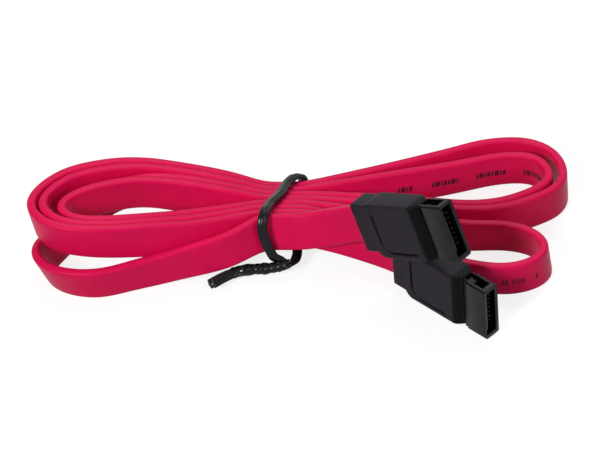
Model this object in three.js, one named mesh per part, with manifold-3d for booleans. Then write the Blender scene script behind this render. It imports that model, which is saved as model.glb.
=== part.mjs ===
// A flat red data cable, folded into a hank and held by a twist tie.
// Millimetres, +Z up; the origin lies on the table under the middle of the hank.
import * as THREE from 'three';
import Module from 'manifold-3d';
import { mergeVertices } from 'three/addons/utils/BufferGeometryUtils.js';

const wasm = await Module();
wasm.setup();

// Driving sizes
const GAP = 0.3;
const JACKET = { width: 9.0, thickness: 2.0, corner: 0.55, turnPerStep: 17 };
const NOSE = { length: 5.5, width: 14.0, thickness: 4.2, corner: 0.35 };
const NECK = { length: 1.4, step: 0.45 };
const TAIL = { step: 1.0, thickness: 2.6, end: 10.1 };
const BODY = { length: 16.4, width: 14.0, thickness: 6.0, rearCorner: 1.5, frontCorner: 0.7, bevel: 0.45 };
const SLOPE = { length: 1.5, drop: 1.0 };
const COLLAR = { length: 4.3, width: 11.2, thickness: 5.2, corner: 0.6, inset: 4.0 };
const SLOT = { depth: 4.7, low: -5.8, high: 6.3, far: -1.2, near: 1.45, keyHigh: -4.1, keyReach: 1.85 };
const RECESS = { front: 1.3, half: 1.2, depth: 1.0 };
const MARK = { rear: 1.6, edge: 1.5, bend: 2.9, top: 4.2, front: 4.8, width: 0.55, depth: 0.3 };
const CONTACT = { count: 7, pitch: 1.27, width: 0.5, thickness: 0.22, tail: 12.0, rest: -0.72, crown: -0.1 };
const CORE = { radius: 0.55, drainRadius: 0.25, length: 2.2 };
const MOULD = { thickness: 3.2, length: 5.9, corner: 0.5 };
const TIE = { width: 2.3, thickness: 1.2, corner: 0.3, bore: 0.4, wire: 0.2, lay: 0.75, turns: 1.5, twisted: 0.72 };
const TIE_STEPS = { perTurn: 20, loop: 36 };

// Places along a plug, measured back from its mating face
const BODY_FRONT = NOSE.length + NECK.length;
const BODY_REAR = BODY_FRONT + BODY.length;
const PLUG_REAR = BODY_REAR + COLLAR.length;
const MOULD_FRONT = CONTACT.tail + GAP;
const CORE_FRONT = MOULD_FRONT + MOULD.length + GAP;
const JACKET_END = CORE_FRONT + CORE.length + GAP;

// The width of all that lies inside the grip
const INNER_WIDTH = NOSE.width - 2 * TAIL.step;

// Where each plug lies: its mating face, then degrees of heading, nose-up pitch and roll
const PLUG_A = { face: [33.2, -27.8, 28.0], heading: -42, pitch: 24, roll: 4 };
const PLUG_B = { face: [41.8, -31.0, 7.65], heading: -45, pitch: 1, roll: 5 };

// The cable's middle line from plug B to plug A: x, y, z and the lean of its width in degrees
const ROUTE = [
  // out of plug B and back to the tie
  [22.7, -12, 7.1, 5], [20.7, -10.1, 7, 3], [14.6, -6.6, 7.3, -3], [6.9, -4.1, 8.5, -9],
  [-0.6, -2.7, 9.4, -12], [-4.6, -2.7, 9.4, -12], [-8.5, -2.8, 9.4, -12],
  // outer left turn
  [-25.1, -8.8, 10.9, -6], [-33.9, -11.1, 12.4, 1], [-43.3, -13.5, 13.7, 6], [-49.5, -13.9, 14.2, 9],
  [-55.4, -12.7, 14.5, 12], [-58.9, -10, 14.7, 14], [-60.7, -5.8, 14.6, 12], [-60, -1.1, 14.4, 6],
  [-55, 6.2, 14.2, -1], [-47.2, 10.8, 13.7, -6], [-37.7, 13.9, 12.4, -10], [-27.6, 13.8, 10.7, -5],
  [-17.6, 12.5, 8.9, 5], [-8.6, 10.8, 6.8, 12], [-4.6, 10.8, 6.8, 12], [-0.6, 10.8, 6.8, 12],
  // outer right turn
  [11.3, 15.6, 6.4, 5], [22.7, 21.2, 5.5, 3], [33.9, 26.7, 4.9, -1], [44.3, 31.3, 4.7, -4],
  [53.8, 31.5, 4.7, -6], [59.4, 27.3, 4.7, -7], [61.4, 19.2, 4.7, -5], [59.5, 13.9, 4.7, -1],
  [54, 9.7, 4.7, 2], [46.1, 5.8, 4.9, 3], [38.1, 4.6, 5.2, 4], [27.4, 4.6, 6, -1],
  [13.4, 4.1, 7.3, -8], [-0.6, 4, 8.1, -12], [-4.6, 4.1, 8.1, -12], [-8.6, 4.1, 8.1, -12],
  // innermost left turn
  [-18.6, 5.3, 10, -5], [-28.3, 6.8, 11.2, 5], [-36.9, 7, 12.1, 10], [-44.3, 4.2, 13, 6],
  [-50.3, 0.6, 13.4, 2], [-53.5, -2.7, 13.4, -4], [-54.3, -5.4, 13.4, -13], [-52.4, -7.9, 13.3, -13],
  [-48.6, -9.1, 13.2, -9], [-43.9, -8.9, 12.9, -6], [-35.1, -6.7, 11.7, -1], [-26.8, -4, 10.2, 6],
  [-8.7, 1.7, 8.6, 12], [-4.6, 1.7, 8.6, 12], [-0.6, 1.8, 8.6, 12],
  // low right turn, in front
  [13.4, 0.7, 7.6, 8], [27.4, 0.1, 6, 0], [38, 0.1, 4.7, -8], [46.3, 0.1, 4.7, -11],
  [52, -1.8, 4.7, -14], [55.4, -6.1, 4.7, -13], [55, -10.7, 4.7, -5], [50.3, -14.6, 4.7, 4],
  [44.4, -15.7, 4.7, 8], [32.6, -12.4, 4.7, 8], [19.9, -5.9, 5.6, -1], [8.5, -1.9, 7.6, -9],
  [-0.6, -0.5, 9, -12], [-4.6, -0.5, 9, -12], [-8.6, -0.5, 9, -12],
  // middle left turn
  [-26, -6.4, 10.6, -6], [-34.5, -8.9, 12.1, 1], [-43.6, -11.2, 13.3, 6], [-49.4, -11.5, 13.8, 9],
  [-54.3, -10.5, 14.2, 12], [-56.8, -8.5, 14.5, 14], [-58.2, -5.3, 14.4, 12], [-57.8, -2, 14.2, 6],
  [-53.5, 4.5, 14, -1], [-46.3, 8.7, 13.5, -6], [-37.4, 11.6, 12.4, -10], [-27.8, 11.5, 10.9, -5],
  [-17.9, 10.1, 9.3, 5], [-8.6, 8.5, 7.3, 12], [-4.6, 8.5, 7.3, 12], [-0.6, 8.6, 7.3, 12],
  // inner right turn
  [12.5, 12.9, 6.8, 6], [24.4, 17.7, 5.7, 3], [36.1, 22, 5, -2], [45.7, 25.5, 4.7, -4],
  [52.2, 26.1, 4.7, -6], [55.5, 24.9, 4.7, -7], [58.1, 19.4, 4.7, -6], [57.3, 15.6, 4.7, -2],
  [52.7, 11.7, 4.7, 1], [45.4, 8, 4.9, 3], [38, 6.8, 5.1, 4], [27.4, 6.9, 5.8, -1],
  [13.3, 6.6, 6.9, -8], [-0.6, 6.2, 7.7, -12], [-4.6, 6.3, 7.7, -12], [-8.6, 6.3, 7.7, -12],
  // low left turn, under the others
  [-18.3, 7.7, 9.5, -5], [-28.1, 9.2, 10.8, 5], [-37.2, 9.5, 11, 10], [-45.5, 6.8, 9.5, 6],
  [-51.5, 2.7, 5.8, -2], [-56, -2.9, 4.7, -10], [-59.2, -8.2, 4.6, -23], [-58.2, -12.8, 4.6, -25],
  [-53.8, -16.2, 4.6, -20], [-46.2, -17.3, 4.7, -13], [-37.8, -14.6, 5, -10], [-27.1, -12.1, 6.5, -5],
  [-17.1, -10.1, 8.5, 4], [-8.5, -5.1, 9.9, 12], [-4.6, -5, 9.9, 12], [-0.6, -5, 9.9, 12],
  // up into plug A
  [7.4, -6.9, 12.9, 6], [13.2, -9.6, 16.1, -4], [14.9, -11.2, 17.1, -4],
];

// The tie's loop round the hank, from the front bottom edge over the top and underneath
const TIE_LOOP = [
  [-7.2, -8.4, 5.6], [-8.4, -8.3, 9.3], [-9.2, -7.9, 13.2], [-8.7, -5.8, 15.7], [-7.5, -1, 15],
  [-5.2, 4, 13.9], [-3.7, 9, 12.9], [-1.4, 12.8, 12.4], [0.1, 14.4, 10.1], [0.5, 13.6, 5.6],
  [0.1, 12.3, 1.5], [-0.8, 8.5, 1.3], [-1.5, 4, 2.2], [-1.5, -0.6, 3.0], [-1.4, -4.4, 3.2], [-2.7, -7.5, 3],
];

// The middle of the twisted ends, from the hank to the cut tips
const TIE_AXIS = [
  [-5.6, -9.4, 3.1], [-8.4, -9.5, 2.6], [-11.4, -9.4, 2.4], [-15.0, -10.2, 2.3], [-18.0, -12.2, 2.3],
  [-20.9, -14.8, 2.3],
];

const MATERIALS = {
  jacket: new THREE.MeshStandardMaterial({ color: 0xc8214b, roughness: 0.42, metalness: 0 }),
  plug: new THREE.MeshStandardMaterial({ color: 0x2b282c, roughness: 0.5, metalness: 0 }),
  housing: new THREE.MeshStandardMaterial({ color: 0x232124, roughness: 0.45, metalness: 0 }),
  mould: new THREE.MeshStandardMaterial({ color: 0xd8d4c8, roughness: 0.6, metalness: 0 }),
  contact: new THREE.MeshStandardMaterial({ color: 0xc9a54e, roughness: 0.3, metalness: 1 }),
  core: new THREE.MeshStandardMaterial({ color: 0xe9e6df, roughness: 0.5, metalness: 0 }),
  drain: new THREE.MeshStandardMaterial({ color: 0xb9bcc0, roughness: 0.35, metalness: 1 }),
  tie: new THREE.MeshStandardMaterial({ color: 0x191620, roughness: 0.35, metalness: 0 }),
  wire: new THREE.MeshStandardMaterial({ color: 0x8d9095, roughness: 0.4, metalness: 1 }),
};

// A line already laid out point by point, with the face direction of the strip at each point
class LaidLine extends THREE.Curve {
  constructor(points, faces) {
    super();
    this.points = points;
    this.faces = faces;
  }

  getPoint(t, target = new THREE.Vector3()) {
    const place = t * (this.points.length - 1);
    const i = Math.min(Math.floor(place), this.points.length - 2);
    return target.lerpVectors(this.points[i], this.points[i + 1], place - i);
  }

  getSpacedPoints() {
    return this.points;
  }

  computeFrenetFrames() {
    const last = this.points.length - 1;
    const tangents = this.points.map((_, i) => {
      const ahead = this.points[Math.min(i + 1, last)];
      return ahead.clone().sub(this.points[Math.max(i - 1, 0)]).normalize();
    });
    const normals = tangents.map((along, i) => this.faces[i].clone().projectOnPlane(along).normalize());
    const binormals = tangents.map((along, i) => along.clone().cross(normals[i]).normalize());
    return { tangents, normals, binormals };
  }
}

// A rectangle with cut corners, centred, across by up
function cutRectangle(across, up, corner) {
  const [x, y] = [across / 2, up / 2];
  const shape = new THREE.Shape();
  shape.moveTo(x, -y + corner);
  shape.lineTo(x, y - corner).lineTo(x - corner, y).lineTo(-x + corner, y).lineTo(-x, y - corner);
  shape.lineTo(-x, -y + corner).lineTo(-x + corner, -y).lineTo(x - corner, -y).closePath();
  return shape;
}

// A rectangle between two opposite corners, rounded at its rear (low X) and its front (high X)
function roundRectangle(x0, y0, x1, y1, rear, front = rear) {
  const shape = new THREE.Shape();
  shape.moveTo(x0 + rear, y0);
  shape.lineTo(x1 - front, y0).absarc(x1 - front, y0 + front, front, -Math.PI / 2, 0);
  shape.lineTo(x1, y1 - front).absarc(x1 - front, y1 - front, front, 0, Math.PI / 2);
  shape.lineTo(x0 + rear, y1).absarc(x0 + rear, y1 - rear, rear, Math.PI / 2, Math.PI);
  shape.lineTo(x0, y0 + rear).absarc(x0 + rear, y0 + rear, rear, Math.PI, Math.PI * 1.5);
  return shape;
}

function sweep(section, points, faces) {
  const line = new LaidLine(points, faces);
  return new THREE.ExtrudeGeometry(section, { steps: points.length - 1, extrudePath: line });
}

// A plan outline in X and Y, thickened evenly about Z = 0, with an optional rounded rim
function plate(shape, thickness, bevel = 0, curveSegments = 5) {
  const geometry = new THREE.ExtrudeGeometry(shape, {
    depth: thickness - 2 * bevel,
    bevelEnabled: bevel > 0,
    bevelThickness: bevel,
    bevelSize: bevel,
    bevelOffset: -bevel,
    bevelSegments: 2,
    curveSegments,
  });
  return geometry.translate(0, 0, bevel - thickness / 2);
}

// A section in Y and Z, drawn out along X between two places
function bar(shape, from, to, curveSegments = 3) {
  const geometry = new THREE.ExtrudeGeometry(shape, { depth: to - from, bevelEnabled: false, curveSegments });
  return geometry.rotateY(Math.PI / 2).rotateX(Math.PI / 2).translate(from, 0, 0);
}

function box(x0, x1, y0, y1, z0, z1) {
  const geometry = new THREE.BoxGeometry(x1 - x0, y1 - y0, z1 - z0);
  return geometry.translate((x0 + x1) / 2, (y0 + y1) / 2, (z0 + z1) / 2);
}

function toSolid(geometry) {
  const bare = geometry.clone();
  bare.deleteAttribute('normal');
  bare.deleteAttribute('uv');
  const merged = mergeVertices(bare, 1e-4);
  const vertProperties = new Float32Array(merged.attributes.position.array);
  const triVerts = new Uint32Array(merged.index.array);
  return new wasm.Manifold(new wasm.Mesh({ numProp: 3, vertProperties, triVerts }));
}

function toGeometry(solid) {
  const mesh = solid.getMesh();
  const geometry = new THREE.BufferGeometry();
  geometry.setAttribute('position', new THREE.BufferAttribute(mesh.vertProperties, 3));
  geometry.setIndex(new THREE.BufferAttribute(mesh.triVerts, 1));
  geometry.computeVertexNormals();
  return geometry;
}

// The first geometry, joined with the next ones and then cut by the last ones
function shapeFrom(first, joins, cuts) {
  let solid = toSolid(first);
  for (const extra of joins) solid = solid.add(toSolid(extra));
  for (const tool of cuts) solid = solid.subtract(toSolid(tool));
  return toGeometry(solid);
}

function named(name, geometry, material) {
  const mesh = new THREE.Mesh(geometry, material);
  mesh.name = name;
  return mesh;
}

// A plug's own axes: X out of the nose, Y up its width, Z out of the marked broad face
function plugPose({ face, heading, pitch, roll }) {
  const [turn, lift, lean] = [heading, -pitch, 90 + roll].map(THREE.MathUtils.degToRad);
  const rotation = new THREE.Euler(lean, lift, turn, 'ZYX');
  return { place: new THREE.Vector3(...face), rotation };
}

function inPlug(plug, x) {
  const { place, rotation } = plugPose(plug);
  return new THREE.Vector3(x, 0, 0).applyEuler(rotation).add(place);
}

// The insulator: nose, neck and tail, with the keyed slot, its contact channels and the top recess
function housingGeometry() {
  const { length, width, thickness, corner } = NOSE;
  const nose = bar(cutRectangle(width, thickness, corner), -length, 0);
  const neckShape = cutRectangle(width, thickness - 2 * NECK.step, 0.2);
  const neck = bar(neckShape, -BODY_FRONT + GAP, -length + 0.2);
  const tail = bar(cutRectangle(INNER_WIDTH, TAIL.thickness, 0.2), -TAIL.end, -BODY_FRONT + 0.5);
  const keyed = new THREE.Shape();
  keyed.moveTo(SLOT.low, SLOT.far);
  keyed.lineTo(SLOT.high, SLOT.far).lineTo(SLOT.high, SLOT.near).lineTo(SLOT.keyHigh, SLOT.near);
  keyed.lineTo(SLOT.keyHigh, SLOT.keyReach).lineTo(SLOT.low, SLOT.keyReach).closePath();
  const cuts = [
    bar(keyed, -SLOT.depth, 1),
    box(-BODY_FRONT, -RECESS.front, width / 2 - RECESS.depth, width, -RECESS.half, RECESS.half),
  ];
  const side = CONTACT.width / 2 + 0.18;
  for (let i = 0; i < CONTACT.count; i++) {
    const y = contactRow(i);
    cuts.push(box(-SLOT.depth - 0.1, -0.7, y - side, y + side, SLOT.far - 0.3, SLOT.far + 0.1));
    cuts.push(box(-MOULD_FRONT, -SLOT.depth + 0.1, y - side, y + side, CONTACT.rest - 0.4, CONTACT.rest + 0.4));
  }
  return shapeFrom(nose, [neck, tail], cuts);
}

function contactRow(i) {
  return (i - (CONTACT.count - 1) / 2) * CONTACT.pitch + 0.25;
}

// The overmould: body and collar, bored for the insulator, the inner mould and the cable
function gripGeometry() {
  const half = BODY.width / 2;
  const body = plate(
    roundRectangle(-BODY_REAR, -half, -BODY_FRONT, half, BODY.rearCorner, BODY.frontCorner),
    BODY.thickness,
    BODY.bevel,
  );
  const collarHalf = COLLAR.width / 2;
  const collar = plate(
    roundRectangle(-PLUG_REAR, -collarHalf, -BODY_REAR + COLLAR.inset, collarHalf, COLLAR.corner),
    COLLAR.thickness,
    BODY.bevel,
  );
  const cuts = [
    bar(cutRectangle(INNER_WIDTH + 2 * GAP, TAIL.thickness + 2 * GAP, 0.2), -MOULD_FRONT, 0),
    bar(
      cutRectangle(INNER_WIDTH + 2 * GAP, MOULD.thickness + 2 * GAP, 0.2),
      -JACKET_END + GAP,
      -MOULD_FRONT + GAP,
    ),
    bar(
      cutRectangle(JACKET.width + 2 * GAP, JACKET.thickness + 2 * GAP, JACKET.corner),
      -PLUG_REAR - 1,
      -JACKET_END + 1,
    ),
    frontSlope(1),
    frontSlope(-1),
    markTool(),
  ];
  return shapeFrom(body, [collar], cuts);
}

// The wedge that slopes one broad face of the body down to the neck
function frontSlope(side) {
  const { length, drop } = SLOPE;
  const top = (side * BODY.thickness) / 2;
  const wedge = new THREE.Shape();
  wedge.moveTo(-BODY_FRONT - length, top).lineTo(-BODY_FRONT, top - side * drop);
  wedge.lineTo(-BODY_FRONT + 1, top - side * drop).lineTo(-BODY_FRONT + 1, 2 * top);
  wedge.lineTo(-BODY_FRONT - length, 2 * top).closePath();
  const geometry = new THREE.ExtrudeGeometry(wedge, { depth: BODY.width + 2, bevelEnabled: false });
  return geometry.rotateX(Math.PI / 2).translate(0, BODY.width / 2 + 1, 0);
}

// The engraved line that turns the rear lower corner of the broad face
function markTool() {
  const [x, y] = [-BODY_REAR + MARK.rear, -BODY.width / 2 + MARK.edge];
  const [centreX, centreY] = [x + MARK.bend, y + MARK.bend];
  const half = MARK.width / 2;
  const line = new THREE.Shape();
  line.moveTo(x - half, MARK.top);
  line.lineTo(x - half, centreY).absarc(centreX, centreY, MARK.bend + half, Math.PI, Math.PI * 1.5);
  line.lineTo(-BODY_FRONT - MARK.front, y - half).lineTo(-BODY_FRONT - MARK.front, y + half);
  line.lineTo(centreX, y + half).absarc(centreX, centreY, MARK.bend - half, Math.PI * 1.5, Math.PI, true);
  line.lineTo(x + half, MARK.top).closePath();
  return plate(line, 2, 0, 8).translate(0, 0, BODY.thickness / 2 + 1 - MARK.depth);
}

// A spring contact: a flat tail, then an arch that presses on the mating blade
function contactGeometry() {
  const { tail, rest, crown, width, thickness } = CONTACT;
  const root = -SLOT.depth;
  const line = new THREE.CatmullRomCurve3(
    [
      [-tail, rest], [root - 0.4, rest], [root + 0.3, rest + 0.08], [root + 1.2, crown - 0.12],
      [root + 1.9, crown], [root + 2.6, crown - 0.15], [root + 3.4, rest - 0.1],
    ].map(([x, z]) => new THREE.Vector3(x, 0, z)),
    false,
    'centripetal',
  );
  const points = line.getPoints(18);
  const faces = points.map(() => new THREE.Vector3(0, 1, 0));
  return sweep(cutRectangle(width, thickness, 0.04), points, faces);
}

// One plug with all that it holds
function plugGroup(letter, pose) {
  const group = new THREE.Group();
  const add = (piece, geometry, material) => group.add(named(`plug_${letter}_${piece}`, geometry, material));
  add('housing', housingGeometry(), MATERIALS.housing);
  add('grip', gripGeometry(), MATERIALS.plug);
  const mould = bar(cutRectangle(INNER_WIDTH, MOULD.thickness, MOULD.corner), -CORE_FRONT + GAP, -MOULD_FRONT);
  add('inner_mould', mould, MATERIALS.mould);
  for (let i = 0; i < CONTACT.count; i++) {
    const y = contactRow(i);
    add(`contact_${i + 1}`, contactGeometry().translate(0, y, 0), MATERIALS.contact);
    const ground = i % 3 === 0;
    const radius = ground ? CORE.drainRadius : CORE.radius;
    const rod = new THREE.CylinderGeometry(radius, radius, CORE.length, 12).rotateZ(Math.PI / 2);
    rod.translate(-CORE_FRONT - CORE.length / 2, y, 0);
    add(ground ? `drain_${i + 1}` : `core_${i + 1}`, rod, ground ? MATERIALS.drain : MATERIALS.core);
  }
  const { place, rotation } = plugPose(pose);
  group.position.copy(place);
  group.rotation.copy(rotation);
  return group;
}

// The jacket: the hand-laid route, with more stations where it bends
function jacketGeometry() {
  const ends = [inPlug(PLUG_B, -JACKET_END), inPlug(PLUG_A, -JACKET_END)];
  const places = [ends[0], ...ROUTE.map(([x, y, z]) => new THREE.Vector3(x, y, z)), ends[1]];
  const leans = [PLUG_B.roll, ...ROUTE.map((row) => row[3]), -PLUG_A.roll];
  const line = new THREE.CatmullRomCurve3(places, false, 'centripetal');
  const spans = places.length - 1;
  const points = [];
  const faces = [];
  const station = (i, share) => {
    const t = (i + share) / spans;
    const along = line.getTangent(t);
    const left = new THREE.Vector3(-along.y, along.x, 0).normalize();
    const lean = THREE.MathUtils.lerp(leans[i], leans[Math.min(i + 1, spans)], share);
    points.push(line.getPoint(t));
    faces.push(left.applyAxisAngle(along, THREE.MathUtils.degToRad(-lean)));
  };
  for (let i = 0; i < spans; i++) {
    const turn = line.getTangent(i / spans).angleTo(line.getTangent((i + 1) / spans));
    const steps = Math.max(1, Math.round(THREE.MathUtils.radToDeg(turn) / JACKET.turnPerStep));
    for (let k = 0; k < steps; k++) station(i, k / steps);
  }
  station(spans, 0);
  return sweep(cutRectangle(JACKET.thickness, JACKET.width, JACKET.corner), points, faces);
}

// The tie's line: in along one twisted end, round the hank, and out along the other
function tieLine() {
  const curve = (places) => new THREE.CatmullRomCurve3(
    places.map((place) => new THREE.Vector3(...place)),
    false,
    'centripetal',
  );
  const axis = curve(TIE_AXIS);
  const loop = curve(TIE_LOOP);
  const steps = TIE.turns * TIE_STEPS.perTurn;
  const end = (side) => Array.from({ length: steps + 1 }, (_, k) => {
    const t = k / steps;
    const along = axis.getTangent(t);
    const face = new THREE.Vector3(0, 1, 1).projectOnPlane(along).normalize();
    face.applyAxisAngle(along, -Math.min(t / TIE.twisted, 1) * TIE.turns * Math.PI * 2);
    return { point: axis.getPoint(t).addScaledVector(face, side * TIE.lay), face };
  });
  const round = Array.from({ length: TIE_STEPS.loop + 1 }, (_, k) => {
    const t = k / TIE_STEPS.loop;
    const face = new THREE.Vector3(-1, 0, 0).cross(loop.getTangent(t)).normalize();
    return { point: loop.getPoint(t), face };
  });
  return relaxed([...end(1).reverse(), ...round, ...end(-1)], 2);
}

// The same stations, each drawn towards its neighbours a few times
function relaxed(stations, passes) {
  let line = stations;
  for (let pass = 0; pass < passes; pass++) {
    line = line.map((station, i) => {
      if (i === 0 || i === line.length - 1) return station;
      const [before, after] = [line[i - 1], line[i + 1]];
      const point = before.point.clone().add(after.point).multiplyScalar(0.5).lerp(station.point, 0.5);
      const face = before.face.clone().add(after.face).multiplyScalar(0.5).lerp(station.face, 0.5);
      return { point, face: face.normalize() };
    });
  }
  return line;
}

function tieMeshes() {
  const line = tieLine();
  const points = line.map((station) => station.point);
  const faces = line.map((station) => station.face);
  const band = cutRectangle(TIE.thickness, TIE.width, TIE.corner);
  band.holes.push(new THREE.Path().absarc(0, 0, TIE.bore, 0, Math.PI * 2, true));
  const ribbon = new THREE.ExtrudeGeometry(band, {
    steps: points.length - 1,
    curveSegments: 3,
    extrudePath: new LaidLine(points, faces),
  });
  const wire = new THREE.Shape().absarc(0, 0, TIE.wire, 0, Math.PI * 2);
  const core = new THREE.ExtrudeGeometry(wire, {
    steps: points.length - 1,
    curveSegments: 3,
    extrudePath: new LaidLine(points, faces),
  });
  return [named('tie_ribbon', ribbon, MATERIALS.tie), named('tie_wire', core, MATERIALS.wire)];
}

const cable = new THREE.Group();
cable.add(named('cable_jacket', jacketGeometry(), MATERIALS.jacket));
cable.add(plugGroup('a', PLUG_A), plugGroup('b', PLUG_B));
cable.add(...tieMeshes());

export default cable;
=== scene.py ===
"""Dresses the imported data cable: the folded red strip, its two plugs and the twist tie.

Lengths are in millimetres in every table and dataclass here, and turn to metres in
the meshes. The strip stands on its edge; +Z is up and the table is at height 0.
"""

from __future__ import annotations

import itertools
import logging
import math
from dataclasses import dataclass, field
from enum import Enum

import bmesh
import bpy
import numpy as np
from mathutils import Matrix, Vector


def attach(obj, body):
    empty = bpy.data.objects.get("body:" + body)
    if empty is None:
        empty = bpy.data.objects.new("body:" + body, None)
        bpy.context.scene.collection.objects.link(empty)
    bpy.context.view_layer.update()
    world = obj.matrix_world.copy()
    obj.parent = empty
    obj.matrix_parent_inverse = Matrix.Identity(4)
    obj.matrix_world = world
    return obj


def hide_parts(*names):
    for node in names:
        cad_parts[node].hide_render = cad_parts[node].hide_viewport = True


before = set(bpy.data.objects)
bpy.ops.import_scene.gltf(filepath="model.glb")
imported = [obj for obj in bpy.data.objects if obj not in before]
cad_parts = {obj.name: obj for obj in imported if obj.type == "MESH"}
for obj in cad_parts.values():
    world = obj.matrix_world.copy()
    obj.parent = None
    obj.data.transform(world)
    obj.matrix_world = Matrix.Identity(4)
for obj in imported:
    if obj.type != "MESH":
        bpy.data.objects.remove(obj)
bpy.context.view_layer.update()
LOG = logging.getLogger("cable")
MM = 0.001
PHOTO_WIDTH_PIXELS = 600
FOCAL_PIXELS = 3035
SENSOR = 36.0
SHARP_ANGLE = math.radians(50)

# Middle line of the strip from plug B to plug A: x, y, z and the lean of its width in degrees
ROUTE = (
    # out of plug B and back to the tie
    (22.7, -12, 7.1, 5), (20.7, -10.1, 7, 3), (14.6, -6.6, 7.3, -3), (6.9, -4.1, 8.5, -9),
    (-0.6, -2.7, 9.4, -12), (-4.6, -2.7, 9.4, -12), (-8.5, -2.8, 9.4, -12),
    # outer left turn
    (-25.1, -8.8, 10.9, -6), (-33.9, -11.1, 12.4, 1), (-43.3, -13.5, 13.7, 6), (-49.5, -13.9, 14.2, 9),
    (-55.4, -12.7, 14.5, 12), (-58.9, -10, 14.7, 14), (-60.7, -5.8, 14.6, 12), (-60, -1.1, 14.4, 6),
    (-55, 6.2, 14.2, -1), (-47.2, 10.8, 13.7, -6), (-37.7, 13.9, 12.4, -10), (-27.6, 13.8, 10.7, -5),
    (-17.6, 12.5, 8.9, 5), (-8.6, 10.8, 6.8, 12), (-4.6, 10.8, 6.8, 12), (-0.6, 10.8, 6.8, 12),
    # outer right turn
    (11.3, 15.6, 6.4, 5), (22.7, 21.2, 5.5, 3), (33.9, 26.7, 4.9, -1), (44.3, 31.3, 4.7, -4),
    (53.8, 31.5, 4.7, -6), (59.4, 27.3, 4.7, -7), (61.4, 19.2, 4.7, -5), (59.5, 13.9, 4.7, -1),
    (54, 9.7, 4.7, 2), (46.1, 5.8, 4.9, 3), (38.1, 4.6, 5.2, 4), (27.4, 4.6, 6, -1),
    (13.4, 4.1, 7.3, -8), (-0.6, 4, 8.1, -12), (-4.6, 4.1, 8.1, -12), (-8.6, 4.1, 8.1, -12),
    # innermost left turn
    (-18.6, 5.3, 10, -5), (-28.3, 6.8, 11.2, 5), (-36.9, 7, 12.1, 10), (-44.3, 4.2, 13, 6),
    (-50.3, 0.6, 13.4, 2), (-53.5, -2.7, 13.4, -4), (-54.3, -5.4, 13.4, -13), (-52.4, -7.9, 13.3, -13),
    (-48.6, -9.1, 13.2, -9), (-43.9, -8.9, 12.9, -6), (-35.1, -6.7, 11.7, -1), (-26.8, -4, 10.2, 6),
    (-8.7, 1.7, 8.6, 12), (-4.6, 1.7, 8.6, 12), (-0.6, 1.8, 8.6, 12),
    # low right turn, in front
    (13.4, 0.7, 7.6, 8), (27.4, 0.1, 6, 0), (38, 0.1, 4.7, -8), (46.3, 0.1, 4.7, -11),
    (52, -1.8, 4.7, -14), (55.4, -6.1, 4.7, -13), (55, -10.7, 4.7, -5), (50.3, -14.6, 4.7, 4),
    (44.4, -15.7, 4.7, 8), (32.6, -12.4, 4.7, 8), (19.9, -5.9, 5.6, -1), (8.5, -1.9, 7.6, -9),
    (-0.6, -0.5, 9, -12), (-4.6, -0.5, 9, -12), (-8.6, -0.5, 9, -12),
    # middle left turn
    (-26, -6.4, 10.6, -6), (-34.5, -8.9, 12.1, 1), (-43.6, -11.2, 13.3, 6), (-49.4, -11.5, 13.8, 9),
    (-54.3, -10.5, 14.2, 12), (-56.8, -8.5, 14.5, 14), (-58.2, -5.3, 14.4, 12), (-57.8, -2, 14.2, 6),
    (-53.5, 4.5, 14, -1), (-46.3, 8.7, 13.5, -6), (-37.4, 11.6, 12.4, -10), (-27.8, 11.5, 10.9, -5),
    (-17.9, 10.1, 9.3, 5), (-8.6, 8.5, 7.3, 12), (-4.6, 8.5, 7.3, 12), (-0.6, 8.6, 7.3, 12),
    # inner right turn
    (12.5, 12.9, 6.8, 6), (24.4, 17.7, 5.7, 3), (36.1, 22, 5, -2), (45.7, 25.5, 4.7, -4),
    (52.2, 26.1, 4.7, -6), (55.5, 24.9, 4.7, -7), (58.1, 19.4, 4.7, -6), (57.3, 15.6, 4.7, -2),
    (52.7, 11.7, 4.7, 1), (45.4, 8, 4.9, 3), (38, 6.8, 5.1, 4), (27.4, 6.9, 5.8, -1),
    (13.3, 6.6, 6.9, -8), (-0.6, 6.2, 7.7, -12), (-4.6, 6.3, 7.7, -12), (-8.6, 6.3, 7.7, -12),
    # low left turn, under the others
    (-18.3, 7.7, 9.5, -5), (-28.1, 9.2, 10.8, 5), (-37.2, 9.5, 11, 10), (-45.5, 6.8, 9.5, 6),
    (-51.5, 2.7, 5.8, -2), (-56, -2.9, 4.7, -10), (-59.2, -8.2, 4.6, -23), (-58.2, -12.8, 4.6, -25),
    (-53.8, -16.2, 4.6, -20), (-46.2, -17.3, 4.7, -13), (-37.8, -14.6, 5, -10), (-27.1, -12.1, 6.5, -5),
    (-17.1, -10.1, 8.5, 4), (-8.5, -5.1, 9.9, 12), (-4.6, -5, 9.9, 12), (-0.6, -5, 9.9, 12),
    # up into plug A
    (7.4, -6.9, 12.9, 6), (13.2, -9.6, 16.1, -4), (14.9, -11.2, 17.1, -4),
)  # fmt: skip

# The tie's loop round the hank, from the front bottom edge over the top and underneath
TIE_LOOP = (
    (-6.6, -8.6, 5.2), (-8.3, -8.3, 9.3), (-9.2, -7.9, 13.2), (-8.7, -5.8, 15.7), (-7.5, -1, 15),
    (-5.2, 4, 13.9), (-3.7, 9, 12.9), (-1.4, 12.8, 12.4), (0.1, 14.4, 10.1), (0.5, 13.6, 5.6),
    (0.1, 12.3, 1.5), (-0.8, 8.5, 1.3), (-1.5, 4, 2.2), (-1.5, -0.6, 3.0), (-1.2, -4.6, 3.4),
    (-1.6, -7.4, 3.6),
)  # fmt: skip

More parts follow.
